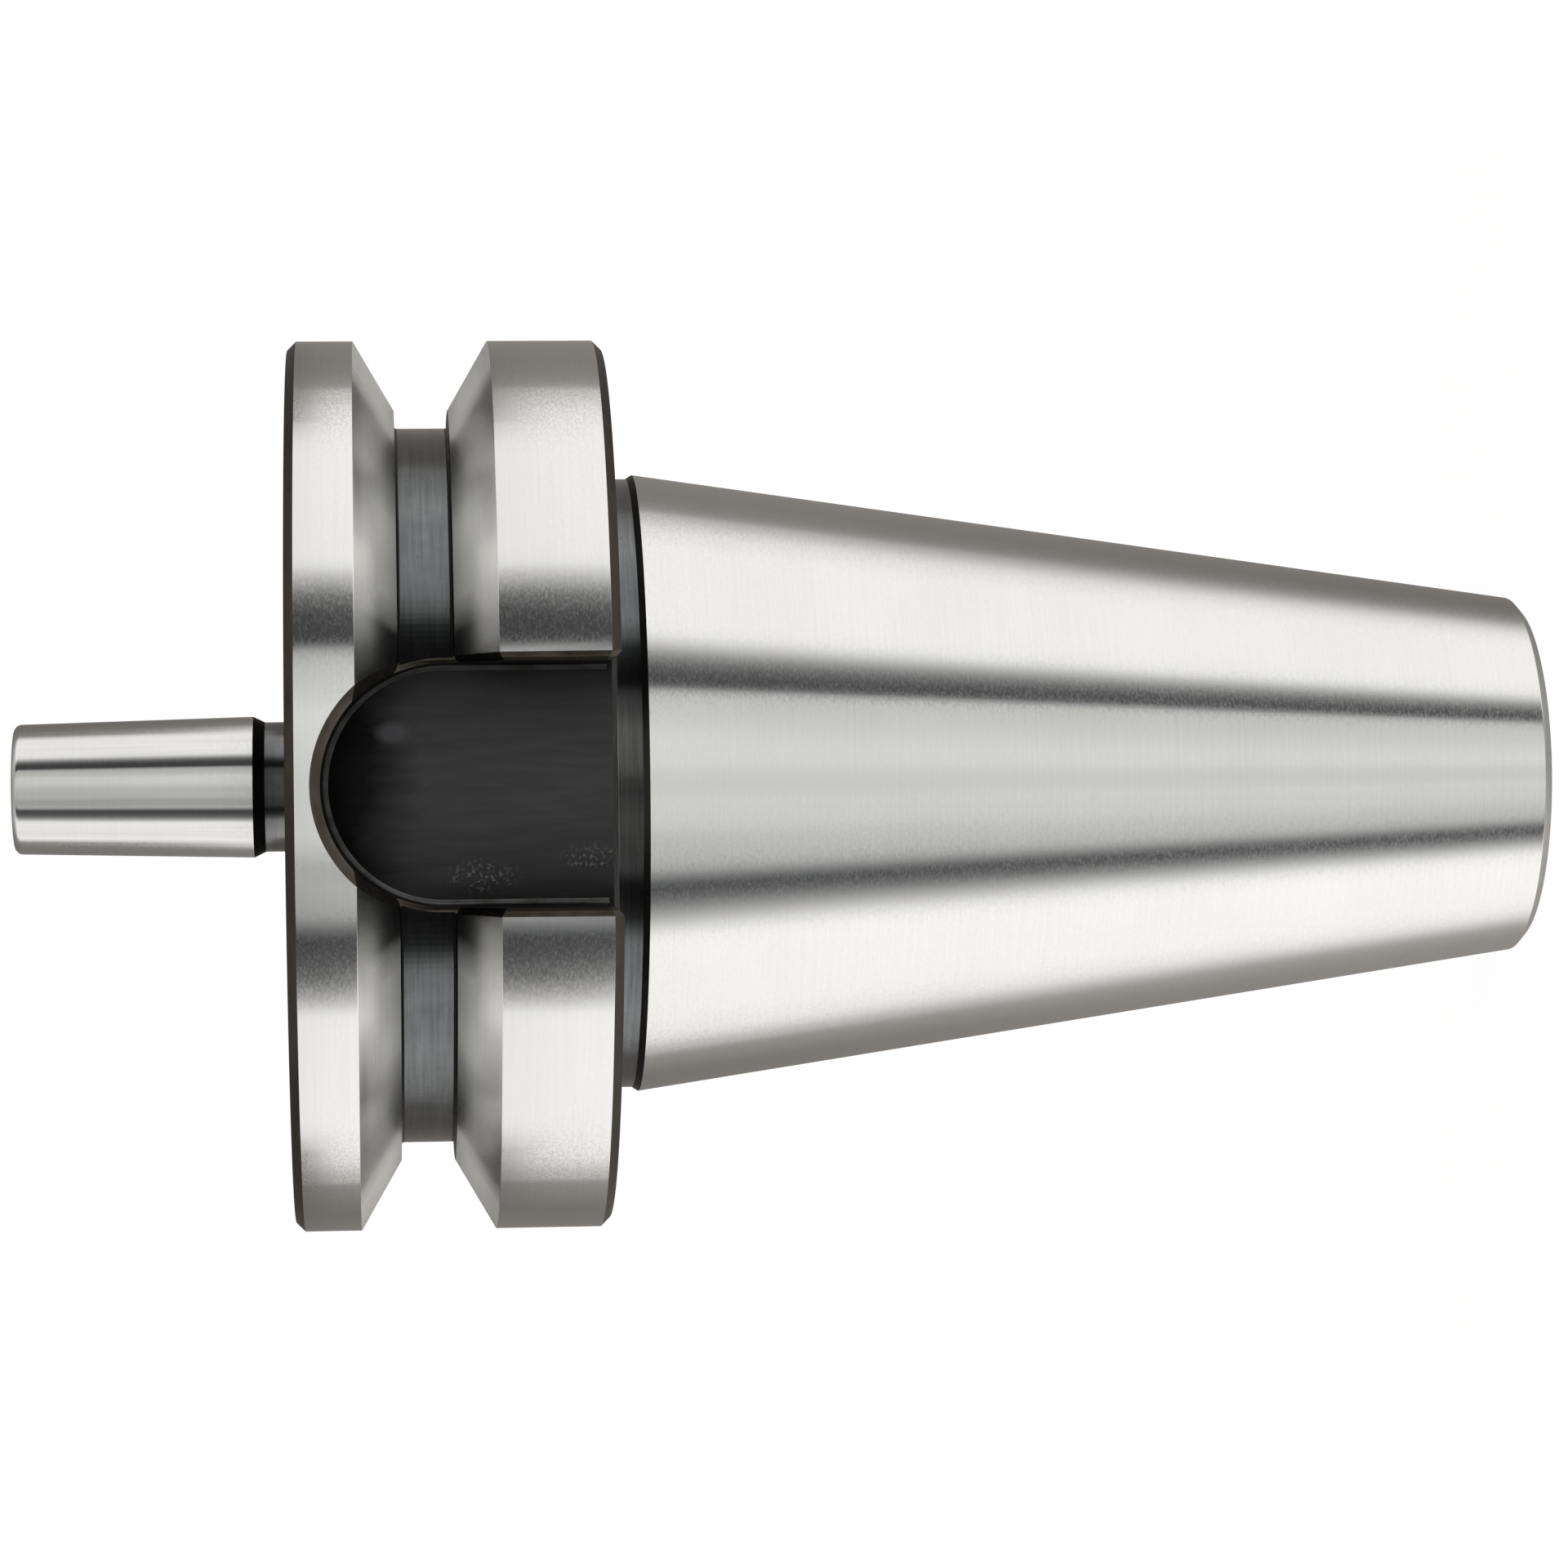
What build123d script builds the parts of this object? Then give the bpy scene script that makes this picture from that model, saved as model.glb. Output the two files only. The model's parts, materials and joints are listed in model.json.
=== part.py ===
from build123d import *
import os
from math import radians, tan

# Drill chuck arbor for a machining centre, turned, milled and ground from one
# bar of steel. It stands on the small end of its spindle taper, with the
# origin at the centre of that face, the axis along +Z and the chuck stub up.
# All lengths are in millimetres.

# Spindle taper: 7/24 on diameter, measured down from the gauge line
gauge_diameter = 69.85
taper_rate = 7 / 24
taper_length = 101.8
small_end_chamfer = 1.0

# Collar between the taper and the flange, and the grinding relief that ends
# the taper just short of the gauge line
collar_diameter = 68.8
relief_below_gauge = 0.5
relief_above_gauge = 0.4

# Flange, measured up from the gauge line
flange_diameter = 100.0
flange_back = 3.0
flange_front = 38.0
flange_chamfer = 1.0

# Gripper groove: a V with a square-walled relief at its root
groove_height = 23.2
groove_angle = 60.0
groove_mouth = 15.0
groove_relief_width = 6.0
groove_relief_depth = 2.0
groove_corner_fillet = 0.3

# Two drive slots, open at the back of the flange and round at the front
slot_count = 2
slot_width = 25.7
slot_floor_step = 1.0
slot_end_height = 34.35
slot_edge_chamfer = 0.9
slot_floor_fillet = 0.6

# Neck between the flange and the chuck stub
neck_diameter = 14.6
neck_length = 3.0
neck_fillet = 0.8
neck_cone_length = 1.3

# Chuck stub: a slow self-holding taper with its own gauge plane
stub_gauge_diameter = 15.733
stub_taper_rate = 1 / 20.02
stub_gauge_to_end = 24.0
stub_end_height = 69.0
stub_end_chamfer = 0.5

# Centre hole in the end of the stub, for grinding between centres
centre_drill_diameter = 2.5
centre_mouth_diameter = 5.3
centre_angle = 60.0
centre_depth = 5.5

# Socket for the pull stud, in the small end of the spindle taper
pilot_diameter = 25.0
pilot_depth = 11.5
pilot_chamfer = 0.8
thread_diameter = 24.0
thread_depth = 47.0
tap_drill_diameter = 21.0
tap_drill_depth = 58.0
drill_point_angle = 118.0

# How near two places lie to count as one
tolerance = 0.001

# A slot's floor lies just outside the collar, so that a drive key clears it
slot_floor = collar_diameter / 2 + slot_floor_step

# Heights along the axis, from the small end up
gauge_z = taper_length
collar_z = gauge_z + relief_above_gauge
flange_back_z = gauge_z + flange_back
flange_front_z = gauge_z + flange_front
groove_z = gauge_z + groove_height
cone_z = flange_front_z + neck_length
stub_root_z = cone_z + neck_cone_length
stub_end_z = gauge_z + stub_end_height


def taper_radius(z):
    """Radius of the spindle taper at height z."""
    return (gauge_diameter - (gauge_z - z) * taper_rate) / 2


def stub_radius(z):
    """Radius of the chuck stub at height z."""
    below_end = stub_end_z - z
    return (stub_gauge_diameter + (below_end - stub_gauge_to_end) * stub_taper_rate) / 2


def in_slot(plane, edge):
    """The edge's ends and middle from a slot's floor plane, or nothing if it leaves the slot."""
    places = [plane.to_local_coords(edge.position_at(along)) for along in (0, 0.5, 1)]
    inside = all(abs(p.X) < slot_width / 2 + tolerance and p.Z > -tolerance for p in places)
    return places if inside else []


def rim_edges(plane, edges):
    """The outer edges of a slot's wall, and those where it runs out at the flange's back."""
    chosen = []
    for edge in edges:
        places = in_slot(plane, edge)
        if not places or places[1].Z < tolerance:
            continue
        runs_down = abs(edge.tangent_at(0.5).dot(plane.z_dir)) > 1 - tolerance
        at_back = abs(places[1].Y - flange_back_z) < tolerance
        if at_back or not runs_down:
            chosen.append(edge)
    return chosen


def foot_edges(plane, edges):
    """The inner corners between a slot's wall and its floor."""
    chosen = []
    for edge in edges:
        places = in_slot(plane, edge)
        if places and all(p.Z < tolerance for p in places) and places[1].Y > flange_back_z + tolerance:
            chosen.append(edge)
    return chosen


# The turned blank: taper, collar, flange, neck and stub in one half section
relief_z = gauge_z - relief_below_gauge
flange_radius = flange_diameter / 2
neck_radius = neck_diameter / 2
with BuildPart() as arbor:
    with BuildSketch(Plane.XZ) as blank_section:
        with BuildLine():
            Polyline(
                (0, 0),
                (taper_radius(0) - small_end_chamfer, 0),
                (taper_radius(small_end_chamfer), small_end_chamfer),
                (taper_radius(relief_z), relief_z),
                (collar_diameter / 2, collar_z),
                (collar_diameter / 2, flange_back_z),
                (flange_radius - flange_chamfer, flange_back_z),
                (flange_radius, flange_back_z + flange_chamfer),
                (flange_radius, flange_front_z - flange_chamfer),
                (flange_radius - flange_chamfer, flange_front_z),
                (neck_radius, flange_front_z),
                (neck_radius, cone_z),
                (stub_radius(stub_root_z), stub_root_z),
                (stub_radius(stub_end_z - stub_end_chamfer), stub_end_z - stub_end_chamfer),
                (stub_radius(stub_end_z) - stub_end_chamfer, stub_end_z),
                (0, stub_end_z),
                close=True,
            )
        make_face()
        neck_root = blank_section.vertices().sort_by_distance((neck_radius, 0, flange_front_z))[0]
        fillet(neck_root, neck_fillet)
    revolve(axis=Axis.Z)

    # The two flanks of the gripper groove, turned all round the flange
    flank_slope = tan(radians(groove_angle / 2))
    relief_half = groove_relief_width / 2
    root_radius = flange_radius - (groove_mouth / 2 - relief_half) / flank_slope
    relief_radius = root_radius - groove_relief_depth
    with BuildSketch(Plane.XZ):
        with BuildLine():
            Polyline(
                (root_radius, groove_z - relief_half),
                (flange_radius, groove_z - groove_mouth / 2),
                (flange_radius, groove_z + groove_mouth / 2),
                (root_radius, groove_z + relief_half),
                close=True,
            )
        make_face()
    revolve(axis=Axis.Z, mode=Mode.SUBTRACT)

    # Socket for the pull stud: chamfer, pilot bore, thread and drill point
    drill_point = tap_drill_diameter / 2 / tan(radians(drill_point_angle / 2))
    with BuildSketch(Plane.XZ):
        with BuildLine():
            Polyline(
                (0, 0),
                (pilot_diameter / 2 + pilot_chamfer, 0),
                (pilot_diameter / 2, pilot_chamfer),
                (pilot_diameter / 2, pilot_depth),
                (thread_diameter / 2, pilot_depth),
                (thread_diameter / 2, thread_depth),
                (tap_drill_diameter / 2, thread_depth),
                (tap_drill_diameter / 2, tap_drill_depth),
                (0, tap_drill_depth + drill_point),
                close=True,
            )
        make_face()
    revolve(axis=Axis.Z, mode=Mode.SUBTRACT)

    # Centre hole in the end of the stub
    with Locations((0, 0, stub_end_z)):
        CounterSinkHole(
            centre_drill_diameter / 2,
            centre_mouth_diameter / 2,
            depth=centre_depth,
            counter_sink_angle=centre_angle,
        )

    # Drive slots, milled from the outside down to a flat floor
    slot_arc_z = gauge_z + slot_end_height - slot_width / 2
    slot_planes = [
        Plane.XZ.rotated((0, 0, 360 / slot_count * turn)).offset(slot_floor)
        for turn in range(slot_count)
    ]
    with BuildSketch(*slot_planes):
        with Locations((0, slot_arc_z)):
            Circle(slot_width / 2)
            Rectangle(slot_width, slot_arc_z - collar_z, align=(Align.CENTER, Align.MAX))
    extrude(amount=flange_radius - slot_floor, mode=Mode.SUBTRACT)

    # Every outer edge of a slot is chamfered, and the foot of its wall rounded
    slot_rims = [edge for plane in slot_planes for edge in rim_edges(plane, arbor.edges())]
    chamfer(slot_rims, slot_edge_chamfer)
    slot_feet = [edge for plane in slot_planes for edge in foot_edges(plane, arbor.edges())]
    fillet(slot_feet, slot_floor_fillet)

    # The square relief at the root of the groove
    with BuildSketch(Plane.XZ) as relief_section:
        with Locations((relief_radius, groove_z)):
            Rectangle(
                groove_relief_depth,
                groove_relief_width,
                align=(Align.MIN, Align.CENTER),
            )
        inner_corners = relief_section.vertices().group_by(Axis.X)[0]
        fillet(inner_corners, groove_corner_fillet)
    revolve(axis=Axis.Z, mode=Mode.SUBTRACT)

os.makedirs("parts", exist_ok=True)
arbor.part.label = "arbor"
export_step(arbor.part, "parts/arbor.step")
print("arbor", arbor.part.is_valid, round(arbor.part.volume), "mm3", arbor.part.bounding_box())
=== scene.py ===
# %% [markdown]
# # A drill chuck arbor, dressed for its portrait
#
# The real arbor is one bar of steel. A lathe turns it, a mill cuts two slots
# in its flange, a black oxide bath darkens it all over, and a grinder then
# brightens the faces that have to be true. This lesson takes the packed
# solid as the frame and builds the surface that you see round it: first the
# camera and the studio, then the turned body, the slots, the thread inside,
# and last the finishes.
#
# The scene is in metres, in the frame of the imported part: the arbor stands on
# its small end, its axis is Z and the chuck's stub points up. Its sizes are
# written in millimetres.

# %% Load the frame
import json
import math

import bpy
from mathutils import Euler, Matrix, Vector

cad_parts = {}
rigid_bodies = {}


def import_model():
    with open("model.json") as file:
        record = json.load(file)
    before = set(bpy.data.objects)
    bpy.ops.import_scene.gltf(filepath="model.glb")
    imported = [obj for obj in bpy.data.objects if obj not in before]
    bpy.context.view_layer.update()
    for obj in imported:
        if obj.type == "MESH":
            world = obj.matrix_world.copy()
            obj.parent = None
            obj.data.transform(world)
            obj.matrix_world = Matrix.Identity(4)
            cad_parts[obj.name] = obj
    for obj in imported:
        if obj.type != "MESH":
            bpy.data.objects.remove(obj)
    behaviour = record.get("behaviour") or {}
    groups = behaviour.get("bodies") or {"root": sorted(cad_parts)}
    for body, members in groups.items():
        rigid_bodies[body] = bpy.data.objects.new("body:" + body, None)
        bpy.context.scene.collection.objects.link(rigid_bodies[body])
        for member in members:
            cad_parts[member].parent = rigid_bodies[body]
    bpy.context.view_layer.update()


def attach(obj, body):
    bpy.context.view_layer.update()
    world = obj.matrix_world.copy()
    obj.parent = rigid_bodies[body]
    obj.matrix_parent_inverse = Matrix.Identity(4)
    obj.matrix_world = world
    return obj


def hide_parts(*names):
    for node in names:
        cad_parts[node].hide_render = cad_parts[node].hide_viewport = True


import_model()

MM = 0.001
scene = bpy.context.scene

# %% [markdown]
# Every operator works on what is selected, and loading the frame leaves its
# nodes selected. So each piece starts from an empty selection. These small
# helpers see to that, join objects, and apply a modifier as it is set up.

# %% Helpers for selecting and applying


def clear_selection():
    """Leaves object mode as the mode and nothing selected."""
    if bpy.context.object and bpy.context.object.mode != "OBJECT":
        bpy.ops.object.mode_set(mode="OBJECT")
    bpy.ops.object.select_all(action="DESELECT")


def pick(piece):
    """Makes piece the only selected object, and the active one."""
    clear_selection()
    piece.select_set(True)
    bpy.context.view_layer.objects.active = piece


def join(first, *others):
    """Makes the others part of the first."""
    pick(first)
    for other in others:
        other.select_set(True)
    bpy.ops.object.join()


def edit_all():
    """Goes into edit mode with all of the active object selected."""
    bpy.ops.object.mode_set(mode="EDIT")
    bpy.ops.mesh.select_all(action="SELECT")


def apply_modifier(piece, kind, **settings):
    """Adds a modifier with these settings and applies it at once."""
    pick(piece)
    modifier = piece.modifiers.new(kind.title(), kind)
    for name, value in settings.items():
        setattr(modifier, name, value)
    bpy.ops.object.modifier_apply(modifier=modifier.name)


# %% [markdown]
# ## The camera
#
# The photograph was taken from the side with a long lens, and the arbor lies
# across the picture. Here it stands up, so the camera lies on its side
# instead: its right is the arbor's down. The place, the turn and the lens
# were fitted to the edges of the flange, the taper and the stub, so the
# lines fall where they do in the photograph.

# %% Place the camera
CAMERA_PLACE = (0.0, -556.682 * MM, 130.071 * MM)
CAMERA_TURN = (-7.5885, 85.2459, -97.5834)
CAMERA_LENS = 112.771
SENSOR_WIDTH = 36.0

clear_selection()
bpy.ops.object.camera_add(location=CAMERA_PLACE)
camera = bpy.context.object
camera.name = "portrait_camera"
camera.rotation_euler = Euler([math.radians(turn) for turn in CAMERA_TURN], "XYZ")
camera.data.sensor_width = SENSOR_WIDTH
camera.data.lens = CAMERA_LENS
camera.data.clip_start = 0.01
camera.data.dof.use_dof = False
scene.camera = camera
print("lens", round(camera.data.lens, 1), "mm at", round(camera.location.length, 3), "m")

# %% [markdown]
# ## The studio
#
# Ground steel shows little of its own colour: what you see on it is the room.
# The streaks in the photograph give the room away. Straight ahead of the
# steel stands a pale card, beside it a dark gap, then a long soft box on
# either side, and behind the arbor the room falls off to a warm grey. All of
# them run parallel to the arbor's axis, so ramps round the axis can hold the
# lot. The flange looks at the room level and the taper looks down at it,
# where the soft boxes come nearer, so there is a pair of ramps for either
# side of the camera and the height in the room mixes them. The stub looks up
# past the ends of the boxes, which makes them narrower and dimmer. It all
# goes into the world, as light from far away.
#
# The camera itself sees plain white behind the arbor, at strength 1.

# %% Light the room from the world
ROOM_STRENGTH = 1.45
BRIGHTEST = 1.10

# How far up or down a reflection looks, as the Z of its direction, while the
# room goes over from its level look to its high one or its low one
LOOK_UP = (0.014, 0.038)
LOOK_DOWN = (-0.10, -0.31)
# High up, the boxes draw in beyond this many degrees, and all of it is dimmer
BOX_MIDDLE = 66
NARROWER, DIMMER = 0.42, 0.12

# Degrees round the axis from the camera, and how bright the room is there:
# the side at the top of the photograph, then the side at the bottom
TOP_LEVEL = [
    (0, 0.70), (14, 0.80), (18, 0.83), (21, 0.79), (24, 0.71), (29, 0.65),
    (32.9, 0.54), (34.4, 0.41), (36.1, 0.054), (44, 0.060), (49, 0.155), (54, 0.53),
    (57.5, 0.91), (60, 0.97), (66, 0.98), (99, 1.01), (105, 1.0), (111, 0.95),
    (116, 0.77), (121.7, 0.60), (123.2, 0.36), (127, 0.29), (132, 0.24), (141, 0.215),
    (180, 0.17),
]
TOP_LOW = [
    (0, 0.665), (3, 0.67), (7, 0.76), (13, 0.755), (24, 0.655), (31, 0.645),
    (34.8, 0.60), (36.6, 0.11), (39, 0.065), (42, 0.09), (45, 0.155), (48, 0.29),
    (51, 0.51), (54, 0.79), (57, 0.97), (61, 0.985), (66, 1.0), (99, 1.0),
    (109, 0.83), (115, 0.57), (119, 0.39), (123, 0.255), (129, 0.210), (140, 0.171),
    (180, 0.15),
]
BOTTOM_LEVEL = [
    (0, 0.70), (13, 0.72), (17, 0.60), (20, 0.47), (24, 0.48), (30, 0.45), (33, 0.40),
    (36, 0.19), (38.5, 0.064), (44, 0.08), (50, 0.155), (54, 0.37), (57, 0.64),
    (60, 0.99), (66, 1.0), (99, 1.01), (105, 1.02), (111, 0.97), (114.5, 0.82),
    (118, 0.62), (121.7, 0.56), (123.2, 0.31), (128, 0.26), (135, 0.21), (141, 0.175),
    (180, 0.155),
]
BOTTOM_LOW = [
    (0, 0.655), (3, 0.665), (7, 0.73), (12, 0.70), (16, 0.70), (24, 0.62),
    (30, 0.56), (33, 0.45), (36, 0.23), (39, 0.080), (42, 0.10), (45, 0.185),
    (48, 0.34), (51, 0.54), (54, 0.77), (57, 0.98), (60, 1.06), (66, 1.08),
    (99, 1.055), (109, 0.92), (117, 0.60), (123, 0.37), (129, 0.345), (140, 0.29),
    (180, 0.225),
]
# The room's tint: a greenish card, a cold gap, neutral boxes and a warm back
TINT = [
    (0, (0.985, 1.0, 0.962)), (33, (0.985, 1.0, 0.965)), (37, (0.94, 0.965, 1.0)),
    (47, (0.98, 0.99, 1.0)), (54, (1.0, 0.996, 0.975)), (66, (1.0, 0.996, 0.984)),
    (109, (1.0, 0.99, 0.972)), (124, (1.0, 0.965, 0.93)), (134, (1.0, 0.94, 0.88)),
    (180, (1.0, 0.935, 0.87)),
]

world = bpy.data.worlds.new("studio_room")
scene.world = world
world.use_nodes = True


class Board:
    """A node tree with short ways to add and join nodes."""

    def __init__(self, tree):
        self.tree = tree
        self.tree.nodes.clear()

    def add(self, kind, inputs=None, **settings):
        """Adds a node, sets its properties, and fills or joins its inputs."""
        node = self.tree.nodes.new(kind)
        for name, value in settings.items():
            setattr(node, name, value)
        for name, value in (inputs or {}).items():
            socket = node.inputs[name]
            if isinstance(value, bpy.types.NodeSocket):
                self.tree.links.new(value, socket)
            else:
                socket.default_value = value
        return node

    def ramp(self, value, stops):
        """A colour ramp with these (place, colour) stops."""
        node = self.add("ShaderNodeValToRGB", {"Fac": value})
        elements = node.color_ramp.elements
        while len(elements) < len(stops):
            elements.new(0.5)
        for element, (place, colour) in zip(elements, stops):
            element.position = place
            element.color = (*colour, 1.0)
        return node.outputs["Color"]

    def math(self, operation, *values):
        """One sum on numbers or sockets."""
        inputs = dict(enumerate(values))
        return self.add("ShaderNodeMath", inputs, operation=operation).outputs[0]

    def product(self, first, *others):
        """Numbers or sockets multiplied together."""
        for other in others:
            first = self.math("MULTIPLY", first, other)
        return first

    def spread(self, value, low, high, out_low=0.0, out_high=1.0):
        """The value carried from one range to another, and held at its ends."""
        inputs = {"Value": value, "From Min": low, "From Max": high}
        inputs.update({"To Min": out_low, "To Max": out_high})
        return self.add("ShaderNodeMapRange", inputs).outputs["Result"]

    def blend(self, share, first, second, kind="MIX"):
        """Two colours mixed by share."""
        inputs = {"Fac": share, "Color1": first, "Color2": second}
        for name, colour in inputs.items():
            if isinstance(colour, tuple):
                inputs[name] = (*colour, 1.0)
        return self.add("ShaderNodeMixRGB", inputs, blend_type=kind).outputs[0]

    def mix(self, share, one, two):
        """Two shaders mixed by share."""
        inputs = {"Fac": share, 1: one.outputs[0], 2: two.outputs[0]}
        return self.add("ShaderNodeMixShader", inputs)


room = Board(world.node_tree)
direction = room.add("ShaderNodeTexCoord").outputs["Generated"]
parts = room.add("ShaderNodeSeparateXYZ", {"Vector": direction})
ahead = room.product(parts.outputs["Y"], -1.0)
aside = room.math("ABSOLUTE", parts.outputs["X"])
share = room.math("DIVIDE", room.math("ARCTAN2", aside, ahead), math.pi)
high_up = room.spread(parts.outputs["Z"], *LOOK_UP)
low_down = room.spread(parts.outputs["Z"], *LOOK_DOWN)
past_box = room.math("MAXIMUM", room.math("SUBTRACT", share, BOX_MIDDLE / 180), 0.0)
share = room.math("MULTIPLY_ADD", room.product(past_box, NARROWER), high_up, share)
at_top = room.math("GREATER_THAN", parts.outputs["X"], 0.0)


def room_side(level, low):
    """One side of the room, with its level ramp mixed into its low one."""
    ramps = []
    for stops in (level, low):
        greys = [(degrees / 180, (bright / BRIGHTEST,) * 3) for degrees, bright in stops]
        ramps.append(room.ramp(share, greys))
    return room.blend(low_down, *ramps)


walls = room.blend(at_top, room_side(BOTTOM_LEVEL, BOTTOM_LOW), room_side(TOP_LEVEL, TOP_LOW))
tint = room.ramp(share, [(degrees / 180, colour) for degrees, colour in TINT])
walls = room.blend(1.0, walls, tint, "MULTIPLY")
strength = room.math("MULTIPLY_ADD", high_up, -DIMMER, 1.0)
strength = room.product(strength, ROOM_STRENGTH * BRIGHTEST)
lit = room.add("ShaderNodeBackground", {"Color": walls, "Strength": strength})
white = room.add("ShaderNodeBackground", {"Color": (1, 1, 1, 1), "Strength": 1.0})
seen = room.add("ShaderNodeLightPath").outputs["Is Camera Ray"]
room.add("ShaderNodeOutputWorld", {"Surface": room.mix(seen, lit, white).outputs[0]})
print("the room's ramps have", len(TOP_LEVEL + TOP_LOW + BOTTOM_LEVEL + BOTTOM_LOW), "stops")

# %% [markdown]
# The floor is white too, and keeps a faint shadow of the arbor. The steel
# must mirror the room and not the floor, because the taper leans down and
# would see nothing else, so the floor hides from reflections and lets light
# through to the arbor. From below it is clear, to let the socket be seen.

# %% Lay the floor
FLOOR_HALF = 6.0
# How much of what the camera sees is glow, how strong it is, and the paper's grey
FLOOR_GLOW, GLOW_STRENGTH = 0.82, 1.12
PAPER_GREY = (0.9, 0.9, 0.9, 1.0)

clear_selection()
bpy.ops.mesh.primitive_plane_add(size=2 * FLOOR_HALF, location=(0, 0, 0))
floor = bpy.context.object
floor.name = "studio_floor"
floor.visible_glossy = False
floor.visible_transmission = False
floor.visible_shadow = False
paper = bpy.data.materials.new("white_paper")
paper.use_nodes = True
sheet = Board(paper.node_tree)
matt = sheet.add("ShaderNodeBsdfDiffuse", {"Color": PAPER_GREY})
glow = sheet.add("ShaderNodeEmission", {"Color": (1, 1, 1, 1), "Strength": GLOW_STRENGTH})
seen = sheet.add("ShaderNodeLightPath").outputs["Is Camera Ray"]
above = sheet.mix(sheet.product(seen, FLOOR_GLOW), matt, glow)
clear = sheet.add("ShaderNodeBsdfTransparent")
below = sheet.add("ShaderNodeNewGeometry").outputs["Backfacing"]
sided = sheet.mix(below, above, clear)
sheet.add("ShaderNodeOutputMaterial", {"Surface": sided.outputs[0]})
floor.data.materials.append(paper)
print("floor", 2 * FLOOR_HALF, "m square")

# %% [markdown]
# ## The turned body
#
# A lathe makes a round part by following one line, and so does this lesson.
# The line below runs from the bottom of the socket, out over the small end,
# up the taper and the flange, and over the stub to its centre hole. Each
# corner has a radius and a height in millimetres, and how far its edge is
# broken: no ground edge is truly sharp, and a tenth of a millimetre is enough
# to catch the light. The name is the finish of the run that starts there.

# %% The line of the turned body
GAUGE, GAUGE_RADIUS = 101.8, 69.85 / 2
TAPER = 7 / 48
COLLAR, COLLAR_START = 34.4, GAUGE + 0.2
FLANGE, FLANGE_CHAMFER = 50.0, 1.0
BACK, FRONT = GAUGE + 3.0, 139.8
NECK, NECK_TOP = 7.3, 142.8
STUB_TOP, STUB_CHAMFER = 170.8, 0.5
STUB_GAUGE, STUB_GAUGE_RADIUS = STUB_TOP - 24.0, 15.733 / 2
STUB_SLOPE = 1 / 40.04
STUB_ROOT, STUB_ROOT_RADIUS = 144.1, 7.934

# The groove: the heights of its mouth and its floor, and the radii of its
# flanks' root and its floor
MOUTH_LOW, MOUTH_HIGH = 117.5, 132.5
FLOOR_LOW, FLOOR_HIGH = 122.0, 128.0
ROOT, RELIEF = 42.206, 40.206

# The socket: radius and end of the pilot bore, the thread and the tap drill
PILOT, PILOT_END, PILOT_CHAMFER = 12.5, 11.5, 0.8
BORE, BORE_END = 12.0, 47.0
TAP_DRILL, TAP_DRILL_END, DRILL_POINT = 10.5, 58.0, 64.309

# The centre hole: its radii and the heights where they end
MOUTH, HOLE, HOLE_TOP, HOLE_END = 2.65, 1.25, 168.375, 165.3


def taper_radius(height):
    """Radius of the spindle taper at a height, in millimetres."""
    return GAUGE_RADIUS - (GAUGE - height) * TAPER


def stub_radius(height):
    """Radius of the chuck's stub at a height, in millimetres."""
    return STUB_GAUGE_RADIUS + (STUB_GAUGE - height) * STUB_SLOPE


BODY_LINE = [
    (0.0, DRILL_POINT, 0.0, "socket"),
    (TAP_DRILL, TAP_DRILL_END, 0.0, "socket"),
    (TAP_DRILL, BORE_END, 0.0, "socket"),
    (BORE, BORE_END, 0.0, "socket"),
    (BORE, PILOT_END, 0.0, "socket"),
    (PILOT, PILOT_END, 0.0, "socket"),
    (PILOT, PILOT_CHAMFER, 0.08, "faced_steel"),
    (PILOT + PILOT_CHAMFER, 0.0, 0.08, "faced_steel"),
    (taper_radius(0) - 1.0, 0.0, 0.15, "faced_steel"),
    (taper_radius(1.0), 1.0, 0.25, "ground_taper"),
    (taper_radius(GAUGE - 0.5), GAUGE - 0.5, 0.10, "gap_black"),
    (COLLAR, COLLAR_START, 0.12, "turned_black"),
    (COLLAR, BACK, 0.25, "faced_black"),
    (FLANGE - FLANGE_CHAMFER, BACK, 0.10, "edge_black"),
    (FLANGE, BACK + FLANGE_CHAMFER, 0.10, "ground_flange"),
    (FLANGE, MOUTH_LOW, 0.12, "ground_flanks"),
    # The relief's steps, and the strips of its floor beside them, are oxide painted near black
    # as the shade in its corners
    (ROOT, FLOOR_LOW, 0.10, "shade_painted_black"),
    (RELIEF, FLOOR_LOW, 0.30, "shade_painted_black"),
    (RELIEF, FLOOR_LOW + 0.4, 0.0, "turned_black"),
    (RELIEF, FLOOR_HIGH - 0.32, 0.0, "shade_painted_black"),
    (RELIEF, FLOOR_HIGH, 0.30, "shade_painted_black"),
    (ROOT, FLOOR_HIGH, 0.10, "ground_flanks"),
    (FLANGE, MOUTH_HIGH, 0.12, "ground_flange"),
    (FLANGE, FRONT - FLANGE_CHAMFER, 0.10, "edge_black"),
    (FLANGE - FLANGE_CHAMFER, FRONT, 0.10, "faced_black"),
    (NECK, FRONT, 0.80, "neck_black"),
    # The step under the stub takes the same painted shade
    (NECK, NECK_TOP, 0.20, "shade_painted_black"),
    (STUB_ROOT_RADIUS, STUB_ROOT, 0.10, "ground_stub"),
    (stub_radius(STUB_TOP - STUB_CHAMFER), STUB_TOP - STUB_CHAMFER, 0.80, "faced_steel"),
    (stub_radius(STUB_TOP) - STUB_CHAMFER, STUB_TOP, 0.60, "faced_steel"),
    (MOUTH, STUB_TOP, 0.08, "socket"),
    (HOLE, HOLE_TOP, 0.0, "socket"),
    (HOLE, HOLE_END, 0.0, "socket"),
    (0.0, HOLE_END, 0.0, "socket"),
]
ARC_STEPS = 4


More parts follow.
